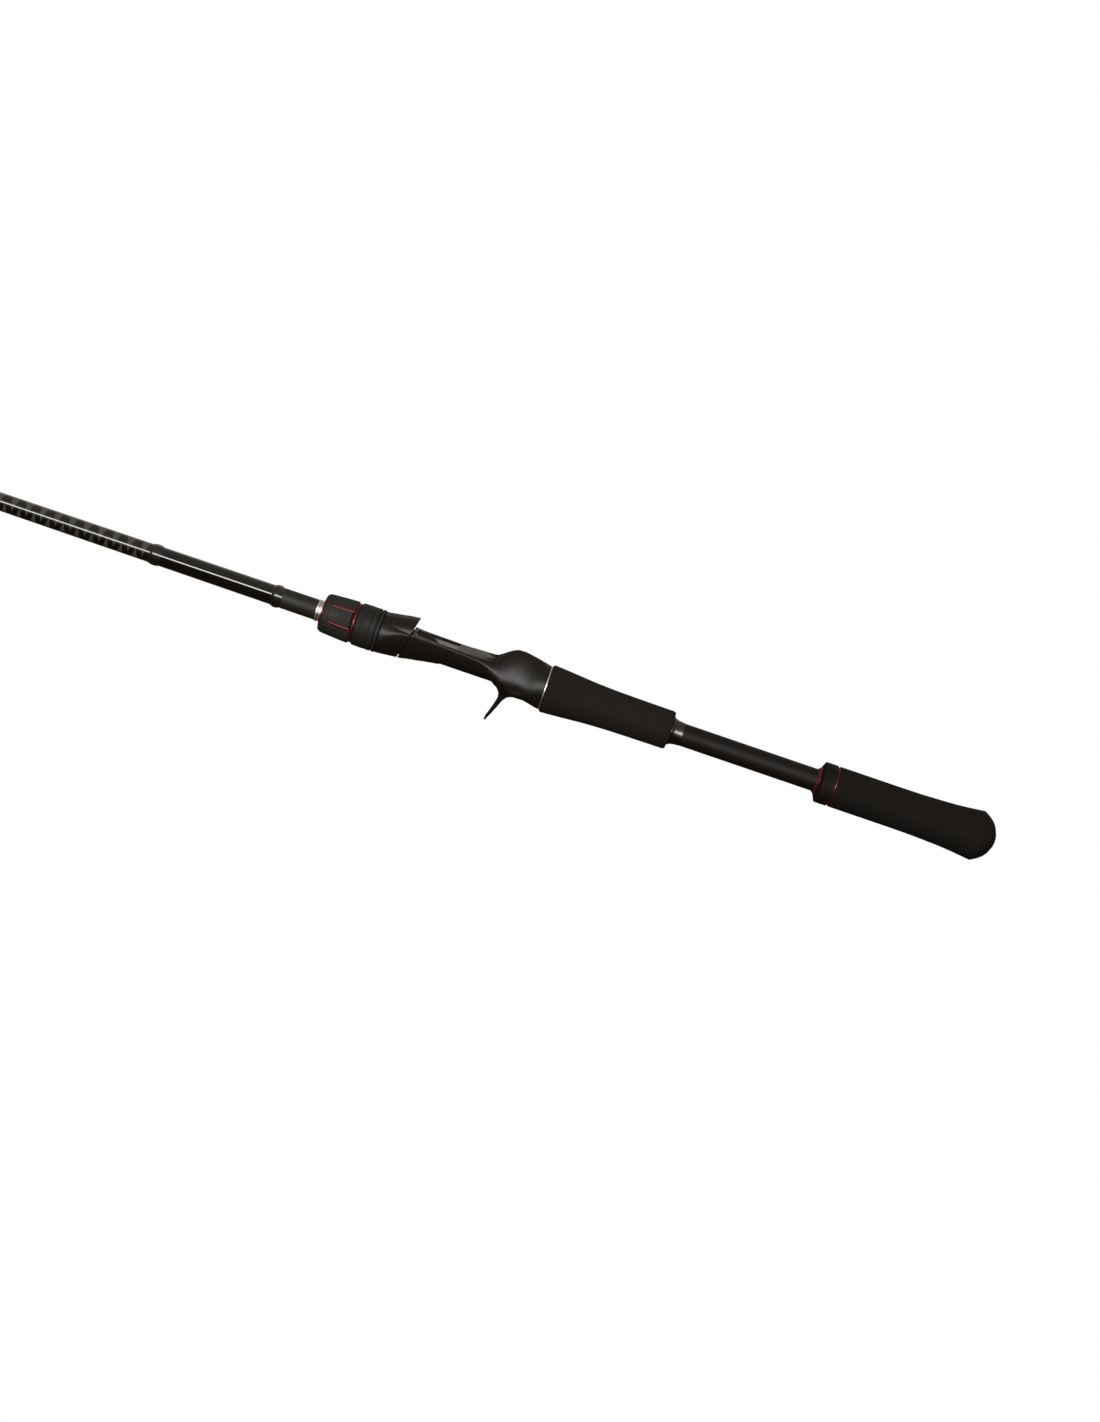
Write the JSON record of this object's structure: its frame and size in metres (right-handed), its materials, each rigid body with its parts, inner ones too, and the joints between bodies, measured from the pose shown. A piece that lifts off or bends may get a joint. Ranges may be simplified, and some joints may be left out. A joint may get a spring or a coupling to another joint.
{
  "type": "casting rod",
  "caption": "One-piece casting rod with a trigger reel seat, screw-down hood, split foam handle and line guides, with no reel fitted.",
  "frame": {"origin": "on the rod's centre line, under the middle of the deck that the reel's foot rests on", "axes": "+X along the rod towards the butt, +Z towards the side with the reel deck and the guides, Y across the rod"},
  "size_m": [2.1325, 0.0288, 0.0542],
  "materials": {
    "carbon": "clear-coated carbon tape",
    "seat_plastic": "satin to gloss moulded black",
    "nut_black": "matte",
    "eva": "matte closed-cell foam",
    "red": "anodised red",
    "silver": "polished",
    "gunmetal": "polished dark",
    "guide_steel": "dark polished",
    "ceramic": "polished ceramic",
    "wrap_black": "varnished thread",
    "liner": "matte",
    "arbor": "matte"
  },
  "bodies": {
    "rod": {"blank": "carbon", "handle_tube": "carbon", "blank_coat": "carbon", "trim_wrap_front": "wrap_black", "trim_wrap_rear": "wrap_black", "blank_sleeve": "seat_plastic", "front_check": "silver", "reel_seat": "seat_plastic", "front_arbor": "arbor", "rear_arbor": "arbor", "seat_rear_ring": "silver", "fore_grip": "eva", "fore_grip_check": "gunmetal", "butt_check": "red", "rear_grip_collar": "nut_black", "rear_grip_ring": "red", "rear_grip": "eva", "butt_plug": "liner", "tip_top_frame": "guide_steel", "tip_top_ring": "ceramic", "tip_top_wrap": "wrap_black", "guide_1_frame": "guide_steel", "guide_1_ring": "ceramic", "guide_1_wrap": "wrap_black", "guide_2_frame": "guide_steel", "guide_2_ring": "ceramic", "guide_2_wrap": "wrap_black", "guide_3_frame": "guide_steel", "guide_3_ring": "ceramic", "guide_3_wrap": "wrap_black", "guide_4_frame": "guide_steel", "guide_4_ring": "ceramic", "guide_4_wrap": "wrap_black", "guide_5_frame": "guide_steel", "guide_5_ring": "ceramic", "guide_5_wrap": "wrap_black", "guide_6_frame": "guide_steel", "guide_6_ring": "ceramic", "guide_6_wrap": "wrap_black", "guide_7_frame": "guide_steel", "guide_7_ring": "ceramic", "guide_7_wrap": "wrap_black", "guide_8_frame": "guide_steel", "guide_8_ring": "ceramic", "guide_8_wrap": "wrap_black"},
    "hood": {"hood": "seat_plastic", "hood_liner": "liner"},
    "nut": {"nut_grip": "nut_black", "nut_inlays": "red", "nut_front_ring": "red", "nut_trim_ring": "red", "nut_collar": "nut_black"}
  },
  "joints": [
    {"name": "hood_slide", "type": "slide", "parent": "rod", "child": "hood", "axis": [-1, 0, 0], "range_m": [0, 0.012]},
    {"name": "nut_turn", "type": "hinge", "parent": "hood", "child": "nut", "pos_m": [0, 0, 0], "axis": [1, 0, 0], "range_deg": [0, 2880]}
  ],
  "couplings": [
    {"joint": "hood_slide", "follows": "nut_turn", "m_per_rad": 0.00023873}
  ]
}
